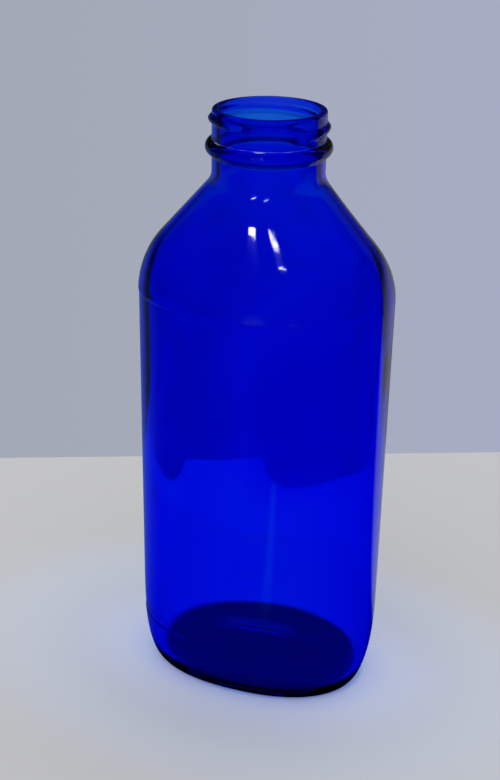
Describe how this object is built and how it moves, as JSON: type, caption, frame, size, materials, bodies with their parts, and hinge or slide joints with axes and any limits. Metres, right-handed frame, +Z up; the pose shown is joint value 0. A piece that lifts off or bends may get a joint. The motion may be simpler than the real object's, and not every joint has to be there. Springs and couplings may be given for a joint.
{
  "type": "screw-neck glass bottle",
  "caption": "Oblong cobalt-blue glass bottle with flat shoulders, a round screw neck with a transfer bead, and an open mouth; stands on its base ring.",
  "frame": {"origin": "centre of the base on the standing plane, on the axis of the neck", "axes": "+Z up along the neck's axis, X across the width (the narrow sides face +X and -X), Y through the depth (the front face looks along -Y)"},
  "size_m": [0.0826, 0.0576, 0.198],
  "materials": {
    "cobalt_glass": "smooth, transparent, fire-polished"
  },
  "bodies": {
    "root": {"glass_bottle": "cobalt_glass"}
  },
  "joints": []
}
